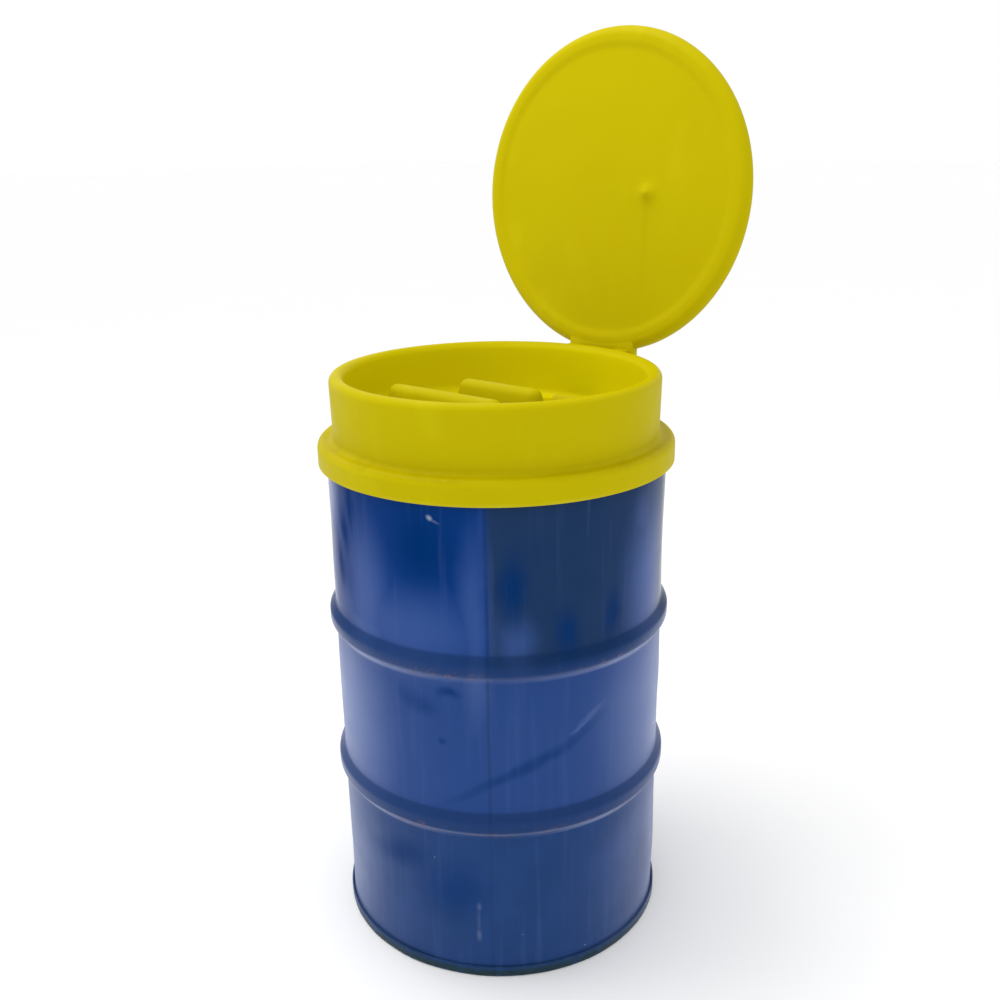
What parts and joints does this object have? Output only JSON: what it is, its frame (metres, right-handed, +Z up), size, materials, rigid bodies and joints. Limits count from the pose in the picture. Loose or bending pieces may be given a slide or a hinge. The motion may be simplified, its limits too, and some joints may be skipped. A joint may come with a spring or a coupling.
{
  "type": "steel drum with hinged-lid funnel",
  "caption": "Closed-head steel drum with two rolling hoops, a lift-off moulded drum funnel with drain ribs and spout, and a hinged round lid that stands open.",
  "frame": {"origin": "centre of the drum's base, on the plane of the bottom chime", "axes": "+Z up along the drum's axis; +Y towards the lid's hinge; +X parallel to the hinge"},
  "size_m": [0.6039, 0.6679, 1.5415],
  "materials": {
    "blue_paint": "gloss enamel, worn at the hoops and chimes",
    "yellow_poly": "satin moulded polyethylene",
    "black_nylon": "satin moulded nylon",
    "zinc_steel": "zinc plated",
    "stainless": "bright, perforated",
    "black_rubber": "matt",
    "seam_compound": "matt"
  },
  "bodies": {
    "drum": {"drum_shell": "blue_paint", "drum_bottom_head": "blue_paint", "drum_top_head": "blue_paint", "bottom_seam_seal": "seam_compound", "top_seam_seal": "seam_compound", "spout_bung_flange": "zinc_steel", "spout_bung_gasket": "black_rubber", "vent_bung_flange": "zinc_steel", "vent_bung_gasket": "black_rubber"},
    "vent_seal": {"vent_plug_gasket": "black_rubber"},
    "vent_plug": {"vent_plug": "zinc_steel"},
    "funnel": {"funnel_body": "yellow_poly", "spout_fitting": "black_nylon", "spout_gasket": "black_rubber", "spout_locknut": "black_nylon"},
    "strainer": {"strainer_basket": "stainless", "strainer_handle": "stainless"},
    "lid": {"lid": "yellow_poly", "lid_vent_plug": "yellow_poly", "hinge_bolt": "zinc_steel", "hinge_nut": "zinc_steel", "hinge_washers": "zinc_steel"}
  },
  "joints": [
    {"name": "funnel_lift", "type": "slide", "parent": "drum", "child": "funnel", "axis": [0, 0, 1], "range_m": [0, 0.15]},
    {"name": "lid_hinge", "type": "hinge", "parent": "funnel", "child": "lid", "pos_m": [0, 0.286, 0.9816], "axis": [-1, 0, 0], "range_deg": [-94, 0]},
    {"name": "strainer_lift", "type": "slide", "parent": "funnel", "child": "strainer", "axis": [0, 0, 1], "range_m": [0, 0.055]},
    {"name": "vent_plug_rise", "type": "slide", "parent": "drum", "child": "vent_seal", "axis": [0, 0, 1], "range_m": [0, 0.0127]},
    {"name": "vent_plug_turn", "type": "hinge", "parent": "vent_seal", "child": "vent_plug", "pos_m": [0, -0.216, 0.86], "axis": [0, 0, 1], "range_deg": [0, 2520]}
  ],
  "couplings": [
    {"joint": "vent_plug_rise", "follows": "vent_plug_turn", "m_per_rad": 0.0002887}
  ]
}
